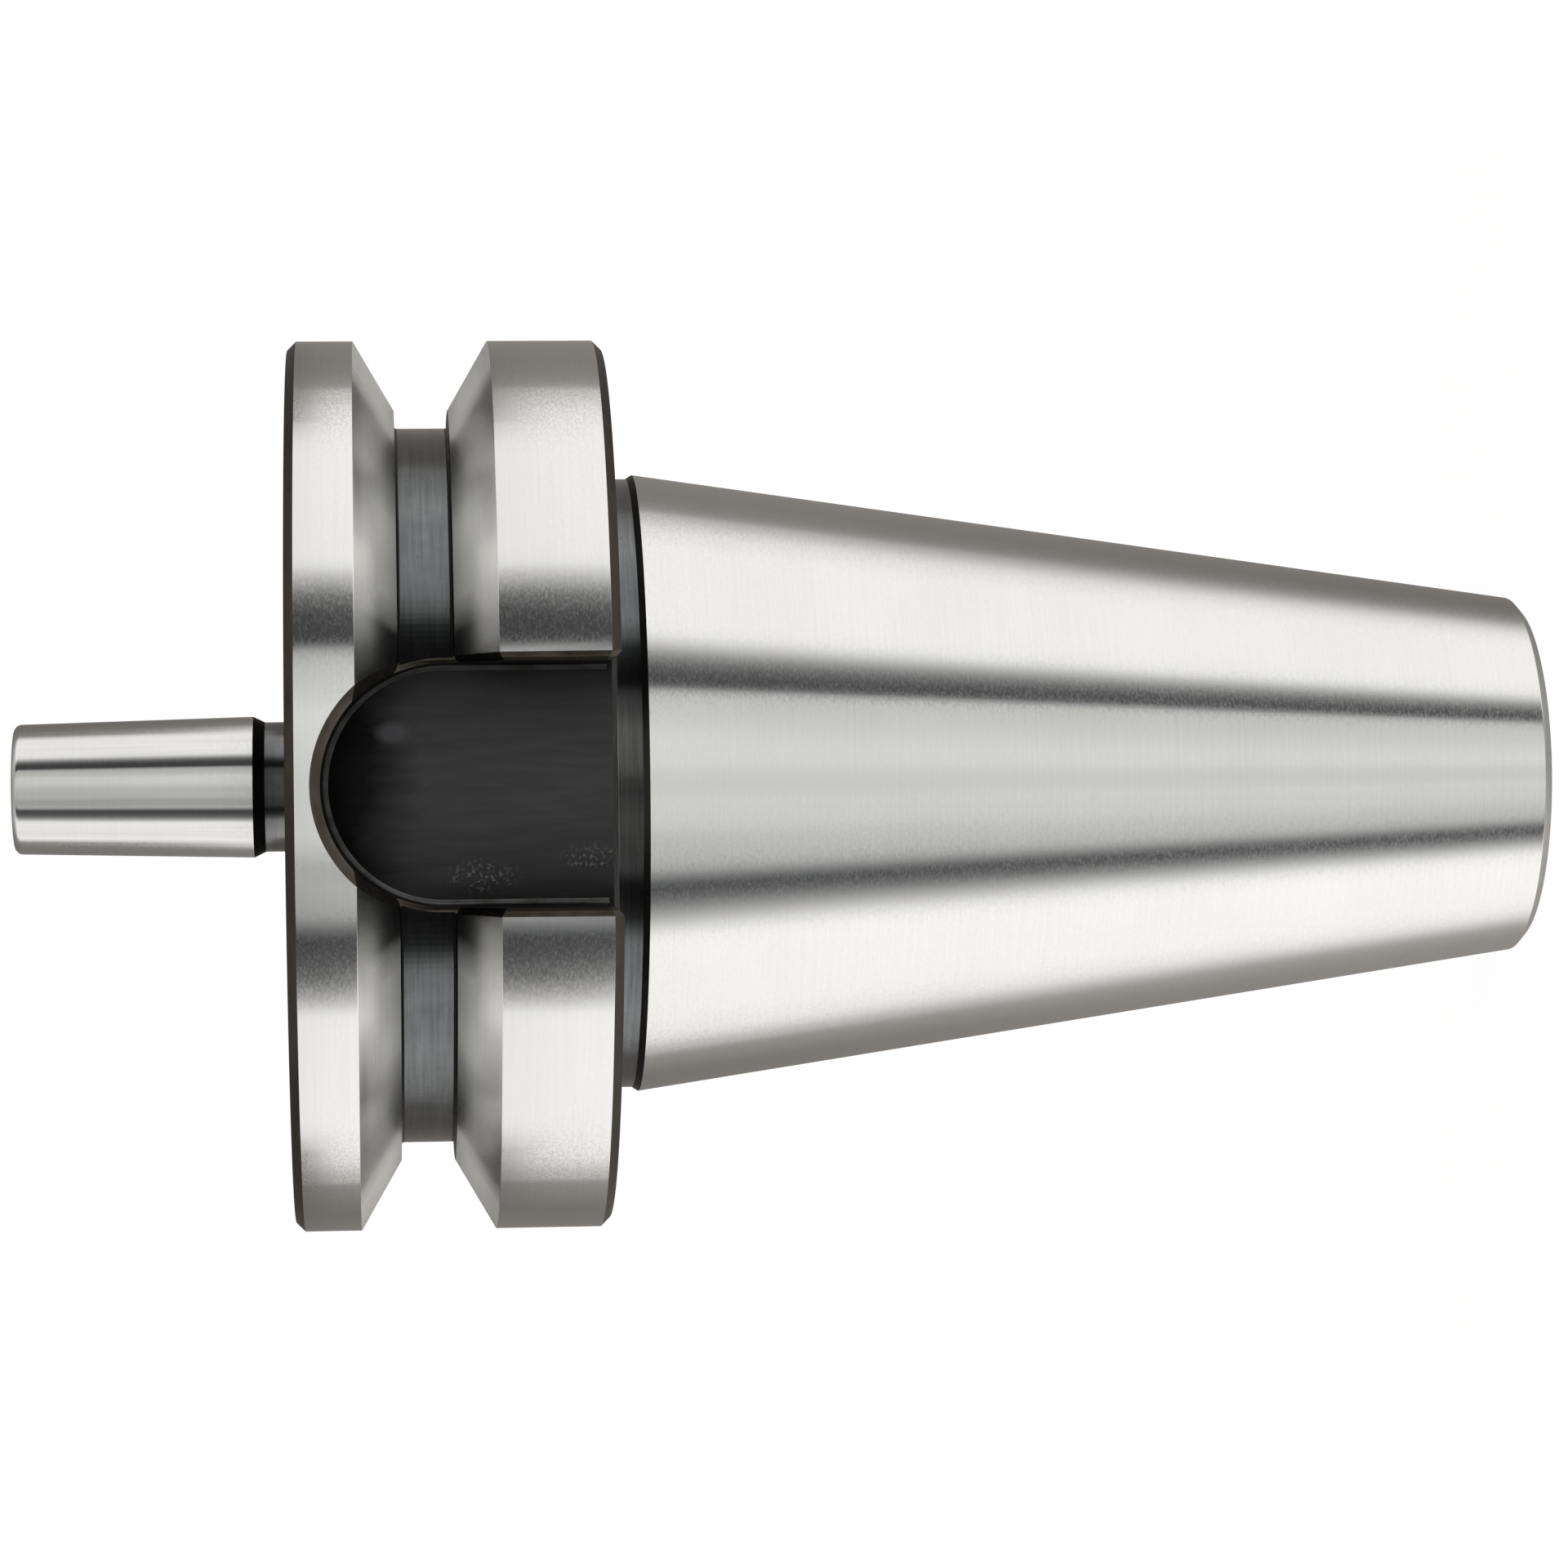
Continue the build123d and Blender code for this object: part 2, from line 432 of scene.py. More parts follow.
def broken_corner(before, corner, after):
    """The points of a corner once its edge is rounded by its own radius."""
    place, round_off = Vector(corner[:2]), corner[2]
    if round_off == 0:
        return [place]
    back = (Vector(before[:2]) - place).normalized()
    on = (Vector(after[:2]) - place).normalized()
    half = back.angle(on) / 2
    reach = round_off / math.tan(half)
    centre = place + (back + on).normalized() * round_off / math.sin(half)
    start, end = place + back * reach, place + on * reach
    points = []
    for step in range(ARC_STEPS + 1):
        outwards = (start - centre).slerp(end - centre, step / ARC_STEPS)
        points.append(centre + outwards.normalized() * round_off)
    return points


line = [Vector(BODY_LINE[0][:2])]
for before, corner, after in zip(BODY_LINE, BODY_LINE[1:], BODY_LINE[2:]):
    line += broken_corner(before, corner, after)
line.append(Vector(BODY_LINE[-1][:2]))
print("the line has", len(line), "points")

# %% [markdown]
# In Blender the line starts as a small plane whose corners are merged to one
# point. Extrude draws the line from there, point by point, and spin carries
# it once round the axis, in steps fine enough that the taper's outline has
# no corners. The ends meet, so doubles are merged, and only then are the
# normals turned outwards.

# %% Draw the line and spin it
ROUND_STEPS = 360
# Points closer than the first are merged, and places closer than the second
# count as equal
DOUBLE, NEAR = 0.002 * MM, 0.01 * MM


def draw_line(name, points):
    """A new mesh that runs through these points, left in edit mode."""
    clear_selection()
    bpy.ops.mesh.primitive_plane_add(size=MM, location=(0, 0, 0))
    piece = bpy.context.object
    piece.name = piece.data.name = name
    edit_all()
    bpy.ops.mesh.select_mode(type="VERT")
    bpy.ops.mesh.merge(type="CENTER")
    bpy.ops.transform.translate(value=points[0])
    for start, end in zip(points, points[1:]):
        bpy.ops.mesh.extrude_region_move(TRANSFORM_OT_translate={"value": end - start})
    return piece


def finish_mesh():
    """Turns all normals outwards and leaves edit mode."""
    bpy.ops.mesh.select_all(action="SELECT")
    bpy.ops.mesh.normals_make_consistent(inside=False)
    bpy.ops.object.mode_set(mode="OBJECT")


body = draw_line("arbor_body", [Vector((p.x, 0, p.y)) * MM for p in line])
bpy.ops.mesh.select_all(action="SELECT")
bpy.ops.mesh.spin(
    steps=ROUND_STEPS, angle=math.tau, center=(0, 0, 0), axis=(0, 0, 1), dupli=False
)
bpy.ops.mesh.select_all(action="SELECT")
bpy.ops.mesh.remove_doubles(threshold=DOUBLE)
finish_mesh()
print("turned body:", len(body.data.polygons), "faces")

# %% [markdown]
# ## The drive slots
#
# The spindle turns the arbor by two keys, which fit the slots in its flange.
# A slot is cut with an end mill, so its front end is round, and its rim is
# chamfered all the way: over the lands, down the flanks of the groove and
# across its floor. The bevel tool would tangle in the spun body's fine faces,
# so the chamfer is made on the cutting shape instead. That is drawn as rails
# that run round the slot: one on the floor, one where the wall ends, two that
# break the rim's edge, and two that lie clear of the steel. A rail is a line
# of extruded points, and bridging fills between two rails. Where the rim
# climbs straight up, its points lie over each other, so the floor's points
# fan out a little there and no face of the wall is left without a width.

# %% Find the slot's rim
# Half the slot's width, the height where its round end starts, and its floor's
# distance from the axis
SLOT_HALF, SLOT_ARC, SLOT_FLOOR = 12.85, 123.3, 35.4
# How far down and out the cutter reaches, clear of the steel
SLOT_OPEN, SLOT_CLEAR = 102.2, 56.0
# The rim's chamfer at most places, at the sides, round the end and in the relief
EDGE, SIDE_EDGE, END_EDGE, RELIEF_EDGE = 0.9, 0.8, 1.0, 0.45
# How far the rim's edge is broken, how far the next rail lies beyond it, and how
# far the floor's points fan out
BROKEN, BEYOND, FAN = 0.1, 0.6, 0.15
# The share of a stretch, to either side, that gives its heading
SHORT = 0.02

# The rim from the flange's back to the slot's round end: height and radius at
# the start and end of each stretch, its chamfer and how many steps it takes
FOOT_RADIUS = math.hypot(SLOT_FLOOR, SLOT_HALF)
SLOT_TOP = SLOT_ARC + SLOT_HALF
RIM = [
    ((BACK, FOOT_RADIUS), (BACK, FLANGE - FLANGE_CHAMFER), EDGE, 1),
    ((BACK, FLANGE - FLANGE_CHAMFER), (BACK + FLANGE_CHAMFER, FLANGE), EDGE, 1),
    ((BACK + FLANGE_CHAMFER, FLANGE), (MOUTH_LOW, FLANGE), SIDE_EDGE, 2),
    ((MOUTH_LOW, FLANGE), (FLOOR_LOW, ROOT), SIDE_EDGE, 5),
    ((FLOOR_LOW, ROOT), (FLOOR_LOW, RELIEF), RELIEF_EDGE, 1),
    ((FLOOR_LOW, RELIEF), (FLOOR_HIGH, RELIEF), RELIEF_EDGE, 10),
    ((FLOOR_HIGH, RELIEF), (FLOOR_HIGH, ROOT), RELIEF_EDGE, 1),
    ((FLOOR_HIGH, ROOT), (MOUTH_HIGH, FLANGE), EDGE, 8),
    ((MOUTH_HIGH, FLANGE), (SLOT_TOP, FLANGE), END_EDGE, 20),
]


def along_rim(height, aside):
    """How far along the wall a height is reached, on a line this far outside the wall."""
    if height <= SLOT_ARC:
        return height - SLOT_ARC
    rise = (height - SLOT_ARC) / (SLOT_HALF + aside)
    return SLOT_HALF * (math.pi / 2 if height >= SLOT_TOP else math.asin(rise))


def rim_place(along, aside):
    """Across and height of a place on that line."""
    reach = SLOT_HALF + aside
    if along <= 0:
        return reach, SLOT_ARC + along
    turn = along / SLOT_HALF
    return reach * math.cos(turn), SLOT_ARC + reach * math.sin(turn)


def rim_edge(stretch, share, aside):
    """Along and depth of the steel's surface, on a line this far outside the wall."""
    (low, first), (high, last), _, _ = stretch
    start, end = along_rim(low, aside), along_rim(high, aside)
    along = start + (end - start) * share
    across, height = rim_place(along, aside)
    climbed = share if low == high else (height - low) / (high - low)
    radius = first + (last - first) * climbed
    radius = min(max(radius, min(first, last)), max(first, last))
    return Vector((along, math.sqrt(radius**2 - across**2)))


def heading(stretch, share):
    """Which way the rim runs there, as along and depth."""
    before, after = max(share - SHORT, 0.0), min(share + SHORT, 1.0)
    return (rim_edge(stretch, after, 0) - rim_edge(stretch, before, 0)).normalized()


def set_in(stretch, share):
    """The rim's place once it is moved into the steel by the chamfer."""
    way = heading(stretch, share)
    return rim_edge(stretch, share, 0) + Vector((way.y, -way.x)) * stretch[2]


def corner_between(one, two):
    """Where the set-in lines of two stretches cross."""
    start, way = set_in(one, 1.0), heading(one, 1.0)
    other, on = set_in(two, 0.0), heading(two, 0.0)
    turn = way.x * on.y - way.y * on.x
    gap = other - start
    return start + way * ((gap.x * on.y - gap.y * on.x) / turn)


def place_of(along, depth, aside):
    """A place on the front slot, in metres."""
    across, height = rim_place(along, aside)
    return Vector((across, -depth, height)) * MM


corners = [set_in(RIM[0], 0.0)]
corners += [corner_between(one, two) for one, two in zip(RIM, RIM[1:])]
corners.append(set_in(RIM[-1], 1.0))
widths = [RIM[0][2]] + [(a[2] + b[2]) / 2 for a, b in zip(RIM, RIM[1:])] + [RIM[-1][2]]

fans = [0.0] * len(corners)
for number, ((low, _), (high, _), _, _) in enumerate(RIM):
    if low == high:
        fans[number], fans[number + 1] = -FAN * (number > 0), FAN

ORDER = ("floor", "wall", "break", "rim", "beyond", "clear")
rails = {name: [] for name in ORDER}
for number, stretch in enumerate(RIM):
    steps = stretch[3]
    for step in range(0 if number == 0 else 1, steps + 1):
        share = step / steps
        low = set_in(stretch, share)
        low += (corners[number] - set_in(stretch, 0.0)) * (1 - share)
        low += (corners[number + 1] - set_in(stretch, 1.0)) * share
        width = widths[number] + (widths[number + 1] - widths[number]) * share
        edge = rim_edge(stretch, share, width)
        rim = rim_edge(stretch, share, width + BROKEN)
        wall = place_of(low.x, low.y, 0)
        high = place_of(edge.x, edge.y, width)
        top = place_of(rim.x, rim.y, width + BROKEN)
        broken = high + (wall - high).normalized() * BROKEN * MM
        beyond = top + (top - broken).normalized() * BEYOND * MM
        fan = {0: fans[number], steps: fans[number + 1]}.get(step, 0.0)
        floor_place = place_of(low.x + fan, SLOT_FLOOR, 0)
        clear = beyond.copy()
        if number == 0:
            clear.z = SLOT_OPEN * MM
        if number > 0 or share == 1:
            clear.y = -SLOT_CLEAR * MM
        for name, point in zip(ORDER, (floor_place, wall, broken, top, beyond, clear)):
            rails[name].append(point)
for name in ORDER:
    rails[name][0].y = -SLOT_FLOOR * MM
print("each rail has", len(rails["rim"]), "points")

# %% [markdown]
# Half of the cutter is drawn and the mirror modifier makes the other half.
# Its floor, back and top are then closed with one face each, and the foot of
# its wall is bevelled to the round that the end mill leaves.

# %% Build the slot's cutter
FOOT_ROUND = 0.7
# What tells one face of the cutter from the next
HAIR = 0.02


def unselect_parts(piece):
    """Leaves edit mode, with no face, edge or point of the piece selected."""
    bpy.ops.object.mode_set(mode="OBJECT")
    for parts in (piece.data.polygons, piece.data.edges, piece.data.vertices):
        for part in parts:
            part.select = False


def select_where(piece, test):
    """In edit mode, selects only the points that pass the test."""
    unselect_parts(piece)
    for vertex in piece.data.vertices:
        vertex.select = bool(test(vertex.co))
    bpy.ops.object.mode_set(mode="EDIT")
    bpy.ops.mesh.select_mode(type="VERT")


def near(value, wanted):
    """True where the two are as good as equal."""
    return abs(value - wanted) < NEAR


strips = []
for lower, upper in zip(ORDER, ORDER[1:]):
    strip = draw_line(f"strip_{lower}", rails[lower])
    join(strip, draw_line(f"strip_{upper}", rails[upper]))
    edit_all()
    bpy.ops.mesh.bridge_edge_loops()
    strips.append(strip)

join(*strips)
cutter = bpy.context.object
cutter.name = cutter.data.name = "slot_cutter"
edit_all()
bpy.ops.mesh.remove_doubles(threshold=DOUBLE)
apply_modifier(cutter, "MIRROR", use_mirror_merge=True, merge_threshold=NEAR / 2)
bpy.ops.object.mode_set(mode="EDIT")
for test in (
    lambda co: near(co.y, -SLOT_FLOOR * MM),
    lambda co: near(co.z, SLOT_OPEN * MM),
    lambda co: near(co.y, -SLOT_CLEAR * MM),
):
    select_where(cutter, test)
    bpy.ops.mesh.edge_face_add()
finish_mesh()


def on_foot(co):
    """True on the line where the slot's wall meets its floor."""
    inside = abs(co.x) < SLOT_HALF * MM + NEAR
    return near(co.y, -SLOT_FLOOR * MM) and inside and co.z > rails["floor"][0].z - NEAR


select_where(cutter, on_foot)
bpy.ops.mesh.select_mode(type="EDGE")
bpy.ops.mesh.bevel(offset=FOOT_ROUND * MM, segments=4, affect="EDGES")
bpy.ops.object.mode_set(mode="OBJECT")
loose_edges = sum(1 for edge in cutter.data.edges if edge.is_loose)
print("slot cutter:", len(cutter.data.polygons), "faces,", loose_edges, "loose edges")

# %% [markdown]
# ## The finishes
#
# A finish belongs to the tool that made the face, so every face gets it now,
# before the cutting: the boolean then hands each cut face the finish of the
# cutter. All finishes read Object coordinates in metres, which is also where
# the real marks come from. A turned or ground mark runs round the axis, so
# its noise is stretched: slow across X and Y, fast along the run of the line.

# %% Helpers for the finishes
# Tones go up to this, and a ramp's colours only to 1
TOP_TONE = 1.6
# Nearly all noise lies between these
NOISE_LOW, NOISE_HIGH = 0.3, 0.7
# On a flat face the round marks follow the radius, and lie closer by this much
FACE_LINES = 2.2
# The turn that lays a blur across the marks
QUARTER_TURN = 0.25


class Finish(Board):
    """A material with the place on the arbor at hand."""

    def __init__(self, name):
        material = bpy.data.materials.new(name)
        material.use_nodes = True
        super().__init__(material.node_tree)
        self.place = self.add("ShaderNodeTexCoord").outputs["Object"]
        parts = self.add("ShaderNodeSeparateXYZ", {"Vector": self.place})
        self.x, self.y, self.z = (parts.outputs[axis] for axis in "XYZ")
        self.radius = self.length_of(self.x, self.y)

    def length_of(self, one, two):
        """The length of a line that runs one and two at a right angle."""
        return self.math("SQRT", self.math("MULTIPLY_ADD", two, two, self.product(one, one)))

    def stretched(self, vector, x, y, z):
        """The vector with its parts made larger by x, y and z."""
        node = self.add("ShaderNodeVectorMath", {0: vector, 1: (x, y, z)}, operation="MULTIPLY")
        return node.outputs[0]

    def noise(self, vector, stretch, detail=2.0, roughness=0.5):
        """Noise from 0 to 1 that has this many cells to a metre in X, Y and Z."""
        inputs = {"Vector": self.stretched(vector, *stretch), "Scale": 1.0}
        inputs.update({"Detail": detail, "Roughness": roughness})
        return self.add("ShaderNodeTexNoise", inputs).outputs["Fac"]

    def round_lines(self, rough, fine, detail):
        """Marks that run round the axis, on a cylinder, a cone or a flat face."""
        run = self.math("MULTIPLY_ADD", self.radius, FACE_LINES, self.z)
        vector = self.add("ShaderNodeCombineXYZ", {"X": self.x, "Y": self.y, "Z": run})
        return self.noise(vector.outputs[0], (rough, rough, fine), detail)

    def sway(self, noise, low, high):
        """Noise made to go from low to high."""
        return self.spread(noise, NOISE_LOW, NOISE_HIGH, low, high)

    def toned(self, colour, tone):
        """The colour made lighter or darker by a tone."""
        return self.blend(1.0, tone, colour, "MULTIPLY")

    def painted_light_tone(self, stops):
        """A painted tone of light and shade for each place across the arbor, with its outline
        at -1 and 1.
        """
        across = self.math("MULTIPLY_ADD", self.math("DIVIDE", self.x, self.radius), 0.5, 0.5)
        greys = [((place + 1) / 2, (tone / TOP_TONE,) * 3) for place, tone in stops]
        return self.product(self.ramp(across, greys), TOP_TONE)

    def bumped(self, height, depth, normal=None):
        """A normal for this height from 0 to 1, which stands for depth in millimetres."""
        inputs = {"Height": height, "Strength": 1.0, "Distance": depth * MM}
        if normal is not None:
            inputs["Normal"] = normal
        return self.add("ShaderNodeBump", inputs).outputs["Normal"]

    def shade(self, **inputs):
        """The finished shader, joined to the output. It is metal unless told otherwise."""
        names = {"Metallic": 1.0}
        names.update({name.replace("_", " "): value for name, value in inputs.items()})
        shader = self.add("ShaderNodeBsdfPrincipled", names)
        self.add("ShaderNodeOutputMaterial", {"Surface": shader.outputs[0]})

    def shade_round(self, skew, **inputs):
        """A shader whose blur lies across marks that run round the axis."""
        round_way = self.add("ShaderNodeTangent", direction_type="RADIAL", axis="Z")
        turned = {"Anisotropic_Rotation": QUARTER_TURN, "Tangent": round_way.outputs[0]}
        self.shade(Anisotropic=skew, **turned, **inputs)


# %% [markdown]
# Ground steel is bright metal whose blur is not the same both ways. The
# grinding wheel leaves fine lines round the axis, and they spread a
# reflection along the axis but hardly at all across it, so the edges of the
# cards in the room stay crisp. That is what the anisotropic setting does. The
# tangent runs round the axis, and a quarter turn lays the blur across the
# lines. A little grain, fine duller specks and a faint cloud in the tone keep
# the streaks from looking printed.
#
# The faces also mirror each other, so some carry painted reflections and shade:
# tones that follow the place across the arbor, where -1 is the bottom of the
# outline as the camera sees it and 1 its top.

# %% Make the ground steels
STEEL = (0.600, 0.597, 0.585)


def tinted(colour, share):
    """The colour made lighter or darker."""
    return tuple(part * share for part in colour)


def mirrored(stops):
    """Stops from 0 to 1, and the same from -1 to 0."""
    return [(-place, tone) for place, tone in reversed(stops[1:])] + stops


# Painted reflections and shade on the flanks, which mirror each other and the
# oxide between them: painted dull beside a slot and brighter further round
FLANK_PAINTED_LIGHT = mirrored([
    (0.0, 0.50), (0.30, 0.50), (0.35, 0.68), (0.40, 0.92), (0.46, 1.08), (0.54, 1.20),
    (0.61, 1.45), (0.65, 1.40), (0.70, 1.05), (0.76, 1.0), (1.0, 1.0),
])
# Deep in the groove a painted shade darkens them far round the side, and a
# painted highlight lightens them again at the very edge
HOLLOW_PAINTED_LIGHT = mirrored([
    (0.0, 1.0), (0.66, 1.0), (0.70, 0.90), (0.75, 0.60), (0.79, 0.35), (0.84, 0.25),
    (0.865, 0.40), (0.89, 1.10), (0.92, 1.45), (1.0, 1.45),
])
# Painted shade: the flanks' tones on the taper's side, the stub's side and the root
TAPER_SIDE, STUB_SIDE, ROOT_PAINTED_SHADE = 0.85, 1.02, 0.72
# How far up the root's painted shade reaches, and the share of the hollow's
# painted light that is left further up
ROOT_REACH, HOLLOW_LEFT = 2.0, 0.5
# On the taper's side, the radius where the mouth starts, and its painted shade
MOUTH_START, MOUTH_DIMMER = 47.5, 0.12
# The radii between which dull steel goes over to bright. Close to a slot, up to
# these places across, it is bright all the way down
BRIGHT_FROM, BRIGHT_TO = 45.2, 49.0
BRIGHT_BESIDE = (0.46, 0.37)
# How much like metal the dull part is, and the outline from these places on
DULL_METAL, OUTLINE_METAL = 0.38, 0.4
OUTLINE = (0.87, 0.92)


def flank_look(finish, shade):
    """The flanks' colour with painted reflections and shade, and how much they shine like bare
    metal.
    """
    aside = finish.math("DIVIDE", finish.math("ABSOLUTE", finish.x), finish.radius)
    side = finish.spread(finish.z, FLOOR_LOW * MM, FLOOR_HIGH * MM, TAPER_SIDE, STUB_SIDE)
    root = finish.spread(finish.radius, ROOT * MM, (ROOT + ROOT_REACH) * MM, ROOT_PAINTED_SHADE, 1.0)
    deep = finish.spread(finish.radius, ROOT * MM, BRIGHT_TO * MM, 1.0, HOLLOW_LEFT)
    hollow_painted_light = finish.blend(deep, (1.0, 1.0, 1.0), finish.painted_light_tone(HOLLOW_PAINTED_LIGHT))
    on_taper_side = finish.math("GREATER_THAN", (FLOOR_LOW + FLOOR_HIGH) / 2 * MM, finish.z)
    mouth = finish.spread(finish.radius, MOUTH_START * MM, FLANGE * MM, 0.0, MOUTH_DIMMER)
    mouth = finish.math("SUBTRACT", 1.0, finish.product(mouth, on_taper_side))
    tone = finish.product(finish.painted_light_tone(FLANK_PAINTED_LIGHT), side, root, hollow_painted_light, mouth)
    bright = finish.spread(finish.radius, BRIGHT_FROM * MM, BRIGHT_TO * MM)
    bright = finish.math("MAXIMUM", bright, finish.spread(aside, *BRIGHT_BESIDE))
    metal = finish.spread(bright, 0.0, 1.0, DULL_METAL, 1.0)
    metal = finish.product(metal, finish.spread(aside, *OUTLINE, 1.0, OUTLINE_METAL))
    return finish.toned(shade, tone), metal


# Painted shade along the middle of the stub's front, and painted highlights
# towards its outline
STUB_PAINTED_LIGHT = [
    (-1.0, 1.60), (-0.95, 1.45), (-0.86, 1.25), (-0.80, 1.15), (-0.70, 1.0), (-0.40, 1.0),
    (-0.33, 1.05), (-0.29, 1.25), (-0.24, 0.97), (-0.16, 0.86), (-0.08, 0.76), (-0.02, 0.80),
    (0.06, 0.92), (0.12, 0.94), (0.20, 0.88), (0.28, 0.92), (0.36, 1.0), (1.0, 1.0),
]


def stub_look(finish, shade):
    """The stub's colour with painted reflection and shade, faint streaks along it, and bare
    metal's full shine.
    """
    streak = finish.noise(finish.place, (1500, 1500, 25), 3.0)
    tone = finish.product(finish.painted_light_tone(STUB_PAINTED_LIGHT), finish.sway(streak, 0.95, 1.05))
    return finish.toned(shade, tone), 1.0


def ground_steel(name, blur, lines, grain, specks, colour=STEEL, skew=0.95, look=None):
    """Bright steel, ground round the axis."""
    finish = Finish(name)
    fine = finish.round_lines(60, 4000, 2.0)
    drift = finish.noise(finish.place, (45, 45, 70), 3.0)
    tone = finish.product(
        finish.sway(fine, 1.0 - lines, 1.0 + lines), finish.sway(drift, 0.98, 1.02)
    )
    shade, metal = finish.toned(colour, tone), 1.0
    if look:
        shade, metal = look(finish, shade)
    pits = finish.noise(finish.place, (1200, 1200, 2600), 5.0, 0.7)
    dull = finish.noise(finish.place, (2400, 2400, 4200), 3.0, 0.65)
    dull = finish.spread(dull, 0.36, 0.68, 0.0, specks)
    finish.shade_round(
        skew,
        Base_Color=shade,
        Metallic=metal,
        Roughness=finish.math("ADD", dull, blur),
        Normal=finish.bumped(pits, grain),
    )


# The name, the blur, the lines' strength, the grain's depth in millimetres and
# how much blur a speck adds
ground_steel("ground_taper", 0.115, 0.012, 0.0012, 0.14)
ground_steel("ground_flange", 0.105, 0.014, 0.0008, 0.14)
# The flanks' lighter steel and flank_look's tones paint reflection and shade on them
ground_steel("ground_flanks", 0.20, 0.02, 0.0008, 0.02, tinted(STEEL, 1.14), 0.6, flank_look)
ground_steel("ground_stub", 0.12, 0.012, 0.0012, 0.06, look=stub_look)
ground_steel("faced_steel", 0.34, 0.12, 0.004, 0.10, tinted(STEEL, 0.92), 0.5)
# The socket in the small end is hardly lit, and plain dull steel is enough
ground_steel("socket", 0.36, 0.10, 0.006, 0.10, tinted(STEEL, 0.62), 0.5)

# %% [markdown]
# The dark faces were turned or milled first and then went through the black
# oxide bath. The oxide is a thin skin on metal, so it still shines, but it
# gives back only a tenth of the light, and less than that straight on. Layer
# Weight makes that difference. The lathe's feed marks show through it.

# %% Make the turned blacks


def turned_black(name, slant, front, blur, lines, skew=0.9, stops=None):
    """Oxide on a face that was turned round the axis."""
    finish = Finish(name)
    facing = finish.add("ShaderNodeLayerWeight", {"Blend": 0.5}).outputs["Facing"]
    colour = finish.blend(finish.spread(facing, 0.03, 0.16), front, slant)
    fine = finish.round_lines(90, 2600, 3.0)
    colour = finish.toned(colour, finish.sway(fine, 1.0 - lines, 1.0 + lines))
    cloud = finish.noise(finish.place, (220, 220, 160), 4.0, 0.6)
    colour = finish.toned(colour, finish.sway(cloud, 0.85, 1.15))
    # Stops, where given, paint light and shade across the arbor
    if stops:
        colour = finish.toned(colour, finish.painted_light_tone(stops))
    pits = finish.noise(finish.place, (1300, 1300, 2400), 3.0, 0.6)
    dull = finish.spread(pits, 0.58, 0.74, 0.0, 0.12)
    finish.shade_round(
        skew,
        Base_Color=colour,
        Roughness=finish.math("ADD", dull, finish.sway(cloud, blur * 0.9, blur * 1.1)),
        Normal=finish.bumped(pits, 0.003),
    )


# Painted shade in a narrow band on either side of a slot, and painted reflections
# between them
OXIDE_PAINTED_LIGHT = [
    (-1.0, 1.05), (-0.72, 1.0), (-0.62, 0.88), (-0.50, 0.78), (-0.455, 0.60),
    (-0.42, 0.30), (-0.31, 0.50), (-0.27, 0.93), (-0.20, 0.95), (-0.13, 0.86),
    (-0.08, 0.70), (-0.03, 0.50), (0.01, 0.60), (0.05, 1.08), (0.10, 1.20),
    (0.18, 1.25), (0.25, 0.85), (0.31, 0.50), (0.42, 0.30), (0.455, 0.60),
    (0.50, 0.78), (0.62, 0.88), (0.72, 1.0), (1.0, 1.05),
]
# Painted highlights on the neck at the top and bottom of its outline, and painted
# shade between
NECK_PAINTED_LIGHT = [
    (-1.0, 1.6), (-0.9, 1.6), (-0.7, 1.1), (-0.5, 0.78), (0.0, 0.71), (0.5, 0.71),
    (0.8, 0.93), (0.93, 1.3), (1.0, 1.4),
]
# Colours at a slant and straight on
BAND = (0.130, 0.136, 0.140), (0.058, 0.058, 0.058)
NECK_OXIDE = (0.18750, 0.18750, 0.19125), (0.08375, 0.08500, 0.08750)

# The name, both colours, the blur and the lines' strength
turned_black("turned_black", *BAND, 0.22, 0.18, stops=OXIDE_PAINTED_LIGHT)
turned_black("neck_black", *NECK_OXIDE, 0.20, 0.10, stops=NECK_PAINTED_LIGHT)
turned_black("gap_black", (0.036, 0.035, 0.034), (0.034, 0.033, 0.032), 0.42, 0.25, 0.6)
# Oxide painted near black, as the shade in the relief's corners and under the stub
turned_black("shade_painted_black", (0.012, 0.012, 0.012), (0.010, 0.010, 0.010), 0.42, 0.25, 0.6)
turned_black("edge_black", (0.060, 0.052, 0.043), (0.050, 0.043, 0.035), 0.45, 0.10, 0.6)
turned_black("faced_black", (0.052, 0.050, 0.047), (0.045, 0.043, 0.041), 0.40, 0.15, 0.6)

# %% [markdown]
# The slots were milled, then blackened. Their floors carry painted shade: darkest
# at the wall and round the round end, lighter towards the middle and the open
# back. So the tone follows the distance to the wall, which a slot's flat shape
# makes easy: it is the slot's half width less the distance from its middle line.
# Streaks run along the slot, two patches of small pale specks are where chips have
# rubbed, and a faint smear lies near the round end.

# %% Make the milled blacks
# Across and up the slot in millimetres, and how far each patch reaches
RUBBED_PATCHES = [((-9.8, 119.3), (2.2, 4.6)), ((-7.8, 107.8), (1.9, 3.4))]
SMEAR = ((5.6, 128.6), (1.4, 2.2))


def patch(finish, flat, place, reach):
    """1 in the middle of a patch on the slot's floor, and 0 outside it."""
    middle = (place[0] * MM, 0.0, place[1] * MM)
    away = finish.add("ShaderNodeVectorMath", {0: flat, 1: middle}, operation="SUBTRACT")
    away = finish.stretched(away.outputs[0], 1 / (reach[0] * MM), 0.0, 1 / (reach[1] * MM))
    length = finish.add("ShaderNodeVectorMath", {0: away}, operation="LENGTH")
    return finish.spread(length.outputs["Value"], 1.0, 0.45)


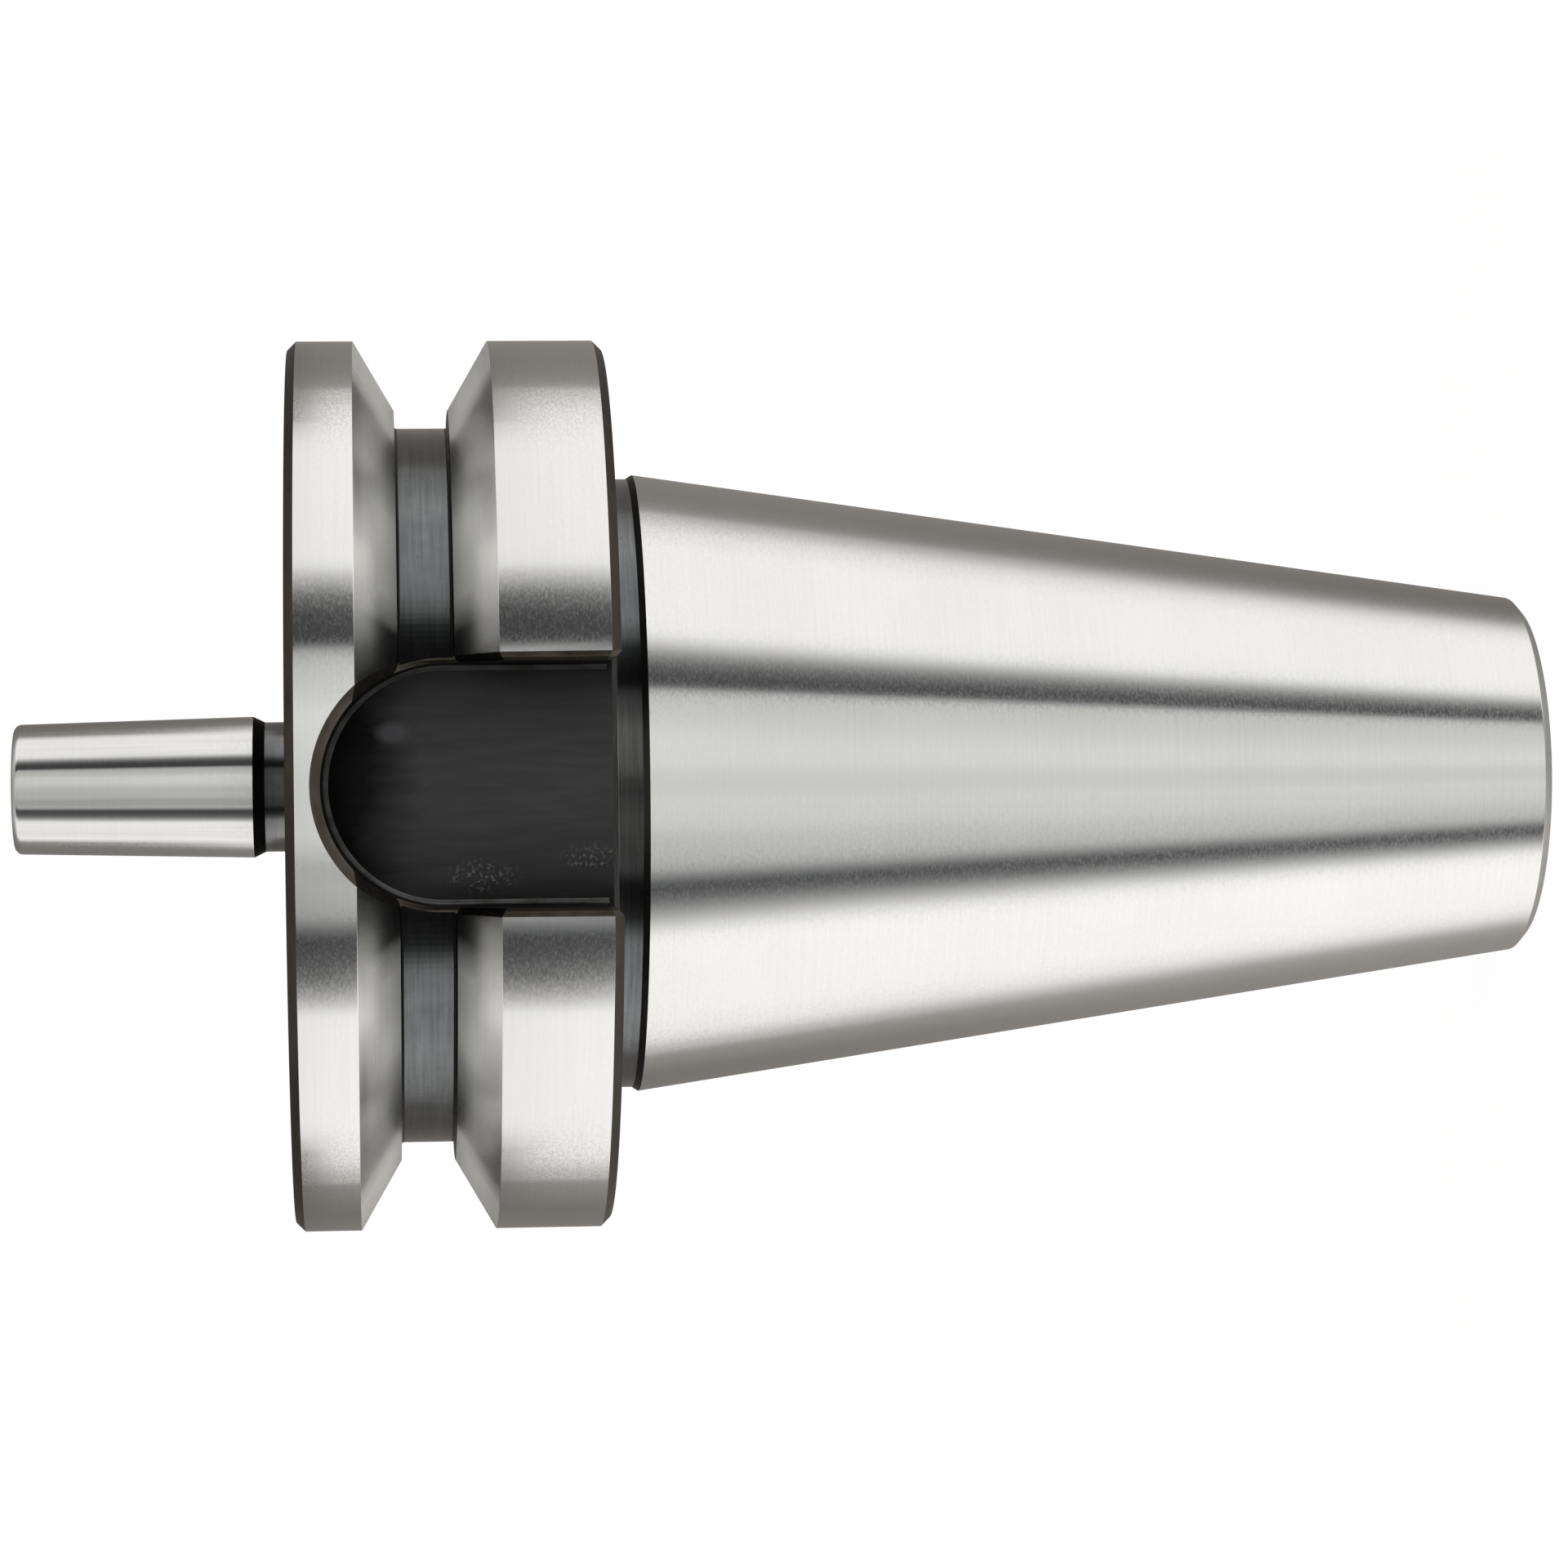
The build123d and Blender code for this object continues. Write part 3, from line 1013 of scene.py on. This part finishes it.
def milled_black():
    """Oxide on the slots' floors and walls, with painted shade near the walls and past the
    start of the round end.
    """
    finish = Finish("milled_black")
    depth = finish.math("ABSOLUTE", finish.y)
    flat = finish.add("ShaderNodeCombineXYZ", {"X": finish.x, "Y": depth, "Z": finish.z})
    flat = flat.outputs[0]
    past = finish.math("MAXIMUM", finish.math("SUBTRACT", finish.z, SLOT_ARC * MM), 0.0)
    inside = finish.math("SUBTRACT", SLOT_HALF * MM, finish.length_of(past, finish.x))
    cloud = finish.noise(flat, (260, 260, 110), 4.0, 0.6)
    streak = finish.noise(flat, (900, 900, 120), 4.0, 0.6)
    drift = finish.math("SUBTRACT", cloud, 0.5)
    place = finish.math("MULTIPLY_ADD", drift, 0.005, inside)
    # Painted shade: the floor is darkest at the wall and lighter towards the middle
    stops = [
        (0.00, (0.0115, 0.0113, 0.0113)),
        (0.12, (0.0165, 0.0165, 0.0170)),
        (0.30, (0.0260, 0.0262, 0.0270)),
        (0.60, (0.0350, 0.0354, 0.0362)),
        (1.00, (0.0425, 0.0427, 0.0430)),
    ]
    colour = finish.ramp(finish.spread(place, 0.0, 0.011), stops)
    # Painted shade: past the start of the round end the floor is darker, in a bowed front
    past = finish.math("MULTIPLY_ADD", drift, -0.007, past)
    past = finish.math("MULTIPLY_ADD", finish.math("ABSOLUTE", finish.x), -0.35, past)
    colour = finish.toned(colour, finish.spread(past, 0.0018, 0.0072, 1.0, 0.26))
    colour = finish.toned(colour, finish.sway(streak, 0.88, 1.12))
    speck = finish.noise(flat, (2400, 2400, 2400), 2.0, 0.6)
    patches = [patch(finish, flat, *where) for where in RUBBED_PATCHES]
    rubbed = finish.product(
        finish.math("MAXIMUM", *patches),
        finish.spread(speck, 0.53, 0.66),
        finish.spread(cloud, 0.40, 0.56),
    )
    colour = finish.blend(rubbed, colour, (0.110, 0.110, 0.110))
    smear = finish.product(patch(finish, flat, *SMEAR), 0.5)
    colour = finish.blend(smear, colour, (0.078, 0.073, 0.082))
    finish.shade(
        Base_Color=colour,
        Roughness=finish.sway(cloud, 0.34, 0.46),
        Normal=finish.bumped(streak, 0.004, finish.bumped(speck, 0.006)),
    )


def slot_foot_highlight_black():
    """The oxide on the round at the foot of a slot's wall, painted lighter as the highlight it
    catches.
    """
    finish = Finish("slot_foot_highlight_black")
    cloud = finish.spread(finish.noise(finish.place, (500, 500, 300), 4.0, 0.6), 0.35, 0.65)
    colour = finish.blend(cloud, (0.024, 0.024, 0.023), (0.044, 0.044, 0.044))
    # The side at negative X gets a stronger painted highlight
    colour = finish.toned(colour, finish.spread(finish.x, -0.012, -0.004, 2.2, 1.0))
    finish.shade(Base_Color=colour, Roughness=0.34)


def slot_edge_black():
    """The thin brown oxide on a slot's chamfer, darker along its inner edge."""
    finish = Finish("slot_edge_black")
    cloud = finish.noise(finish.place, (300, 300, 300), 4.0, 0.6)
    colours = (0.050, 0.044, 0.034), (0.074, 0.065, 0.054)
    colour = finish.blend(finish.spread(cloud, 0.35, 0.65), *colours)
    # The dark inner edge runs along the straight sides, and fades at the round end
    reach = finish.math("ABSOLUTE", finish.x)
    inner = finish.spread(reach, (SLOT_HALF + 0.40) * MM, (SLOT_HALF + 0.24) * MM)
    straight = finish.spread(finish.z, (SLOT_ARC + 5.0) * MM, (SLOT_ARC + 1.0) * MM)
    colour = finish.blend(finish.product(inner, straight), colour, (0.012, 0.011, 0.010))
    speck = finish.noise(finish.place, (1500, 1500, 1500))
    finish.shade(
        Base_Color=colour,
        Roughness=finish.sway(cloud, 0.30, 0.42),
        Normal=finish.bumped(speck, 0.006),
    )


milled_black()
slot_foot_highlight_black()
slot_edge_black()

# %% [markdown]
# Each face of the spun body takes the finish of the run of the line that it
# lies on. The cutter has three: oxide on what the mill leaves, oxide painted
# lighter on the round at the foot of its wall, as the highlight the round
# catches, and a browner, thinner oxide on the chamfer that was broken by hand.

# %% Give each face its finish
FINISHES = list(dict.fromkeys(corner[3] for corner in BODY_LINE))
FINISHES += ["milled_black", "slot_foot_highlight_black", "slot_edge_black"]


def off_run(place, start, end):
    """How far a place lies from a run of the line."""
    way = end - start
    share = (place - start).dot(way) / way.length_squared
    return (place - start - way * min(max(share, 0.0), 1.0)).length


RUNS = [(Vector(a[:2]), Vector(b[:2]), a[3]) for a, b in zip(BODY_LINE, BODY_LINE[1:])]
# All faces of a ring share a radius and a height, so each ring is looked up once
found_rings = {}


def finish_on_body(centre):
    """The finish of the run nearest to a face's centre, in metres."""
    radius = math.hypot(centre.x, centre.y)
    ring = (round(radius, 6), round(centre.z, 6))
    if ring not in found_rings:
        place = Vector((radius, centre.z)) / MM
        found_rings[ring] = min(RUNS, key=lambda run: off_run(place, *run[:2]))[2]
    return found_rings[ring]


def finish_on_cutter(centre):
    """Oxide inside the slot's wall, and the chamfer's finish outside it."""
    across, depth, height = centre.x / MM, -centre.y / MM, centre.z / MM
    reach = math.hypot(across, max(height - SLOT_ARC, 0.0))
    if reach > SLOT_HALF + HAIR:
        return "slot_edge_black"
    on_round = SLOT_FLOOR + HAIR / 2 < depth < SLOT_FLOOR + FOOT_ROUND
    return "slot_foot_highlight_black" if on_round and reach < SLOT_HALF - HAIR / 20 else "milled_black"


def give_finishes(piece, choose):
    """Adds all finishes to piece and hands each face the one that choose names."""
    for name in FINISHES:
        piece.data.materials.append(bpy.data.materials[name])
    for polygon in piece.data.polygons:
        polygon.material_index = FINISHES.index(choose(polygon.center))


give_finishes(body, finish_on_body)
give_finishes(cutter, finish_on_cutter)
print("finishes:", ", ".join(FINISHES))

# %% [markdown]
# The rear slot is the same shape, turned half way round the axis. Both cutters
# go into one boolean, with the exact solver, because its cuts keep the edges
# of the cutter sharp. Two wedges then break the edge where each floor runs
# out at the back of the flange.

# %% Cut both slots
EXIT_EDGE = 0.5
# How far the wedge stands clear of the steel, sideways, outwards and downwards
WEDGE_SIDE, WEDGE_OUT, WEDGE_DOWN = 1.05, 0.05, 0.5
SMOOTH_ANGLE = math.radians(30)


def cut_with(piece, tool):
    """Takes the tool's shape out of piece, then removes the tool."""
    settings = {"operation": "DIFFERENCE", "solver": "EXACT", "material_mode": "TRANSFER"}
    apply_modifier(piece, "BOOLEAN", object=tool, **settings)
    pick(tool)
    bpy.ops.object.delete()


def both_sides(tool):
    """The tool and a copy of it, turned half way round the axis, as one object."""
    pick(tool)
    bpy.ops.object.duplicate()
    rear = bpy.context.object
    edit_all()
    bpy.ops.transform.rotate(value=math.pi, orient_axis="Z", center_override=(0, 0, 0))
    join(tool, rear)
    return tool


across = SLOT_HALF + EDGE - EXIT_EDGE - HAIR
outside = -SLOT_FLOOR - WEDGE_OUT
wedge_corners = [
    (across, outside, BACK + EXIT_EDGE + WEDGE_OUT),
    (across + WEDGE_SIDE, -SLOT_FLOOR + 1.0, BACK - WEDGE_DOWN),
    (across + WEDGE_SIDE, outside, BACK - WEDGE_DOWN),
]
wedge = draw_line("exit_wedge", [Vector(corner) * MM for corner in wedge_corners])
bpy.ops.mesh.select_all(action="SELECT")
bpy.ops.mesh.edge_face_add()
bpy.ops.mesh.extrude_region_move(
    TRANSFORM_OT_translate={"value": (-2 * across * MM, 0, 0)}
)
select_where(wedge, lambda co: co.x < 0 and co.z < BACK * MM)
bpy.ops.transform.translate(value=(-2 * WEDGE_SIDE * MM, 0, 0))
finish_mesh()
wedge.data.materials.append(bpy.data.materials["faced_black"])
print("exit wedge:", len(wedge.data.polygons), "faces")

cut_with(body, both_sides(cutter))
cut_with(body, both_sides(wedge))
pick(body)
bpy.ops.object.shade_smooth_by_angle(angle=SMOOTH_ANGLE)
print("body with slots:", len(body.data.polygons), "faces")

# %% [markdown]
# Smooth shading must not run from one finish into the next, or the chamfer
# would bend the light on the ground face beside it. So every edge between two
# finishes is marked sharp.

# %% Mark the borders between finishes
finishes_at = {}
for polygon in body.data.polygons:
    for key in polygon.edge_keys:
        finishes_at.setdefault(key, set()).add(polygon.material_index)
borders = {key for key, found in finishes_at.items() if len(found) > 1}
pick(body)
unselect_parts(body)
for edge in body.data.edges:
    edge.select = edge.key in borders
bpy.ops.object.mode_set(mode="EDIT")
bpy.ops.mesh.select_mode(type="EDGE")
bpy.ops.mesh.mark_sharp()
bpy.ops.object.mode_set(mode="OBJECT")
print("sharp borders:", len(borders), "edges")

# %% [markdown]
# ## The thread in the socket
#
# A pull stud screws into the small end and holds the arbor in the spindle.
# The screw modifier sweeps the outline of one tooth round the axis and
# upwards at the thread's pitch. The sweep's outer side lies just inside the
# steel of the bore, so the tooth grows out of the wall with no gap.

# %% Cut the thread
THREAD_PITCH = 3.0
THREAD_CREST = 10.4
THREAD_LOW, THREAD_HIGH = 11.9, 46.9
THREAD_STEPS = 96

# Radius and height of the tooth's corners, from its middle
tooth = [
    (BORE + 0.06, -1.46),
    (BORE - 0.08, -1.30),
    (THREAD_CREST, -0.42),
    (THREAD_CREST, 0.42),
    (BORE - 0.08, 1.30),
    (BORE + 0.06, 1.46),
]
turns = int((THREAD_HIGH - THREAD_LOW - THREAD_PITCH) / THREAD_PITCH)
middle = THREAD_LOW + THREAD_PITCH / 2
tooth = [Vector((radius, 0, middle + up)) * MM for radius, up in tooth]
thread = draw_line("socket_thread", tooth)
bpy.ops.mesh.select_all(action="SELECT")
bpy.ops.mesh.edge_face_add()
apply_modifier(
    thread,
    "SCREW",
    angle=math.tau,
    screw_offset=THREAD_PITCH * MM,
    iterations=turns,
    steps=THREAD_STEPS,
    render_steps=THREAD_STEPS,
    use_merge_vertices=False,
)
edit_all()
finish_mesh()
thread.data.materials.append(bpy.data.materials["socket"])
pick(thread)
bpy.ops.object.shade_smooth_by_angle(angle=SMOOTH_ANGLE)
print("thread:", turns, "turns,", len(thread.data.polygons), "faces")

# %% [markdown]
# ## Hand the pieces over

# %% Ride and replace
scene.view_settings.view_transform = "Standard"

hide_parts("arbor")
for piece in (body, thread):
    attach(piece, "root")
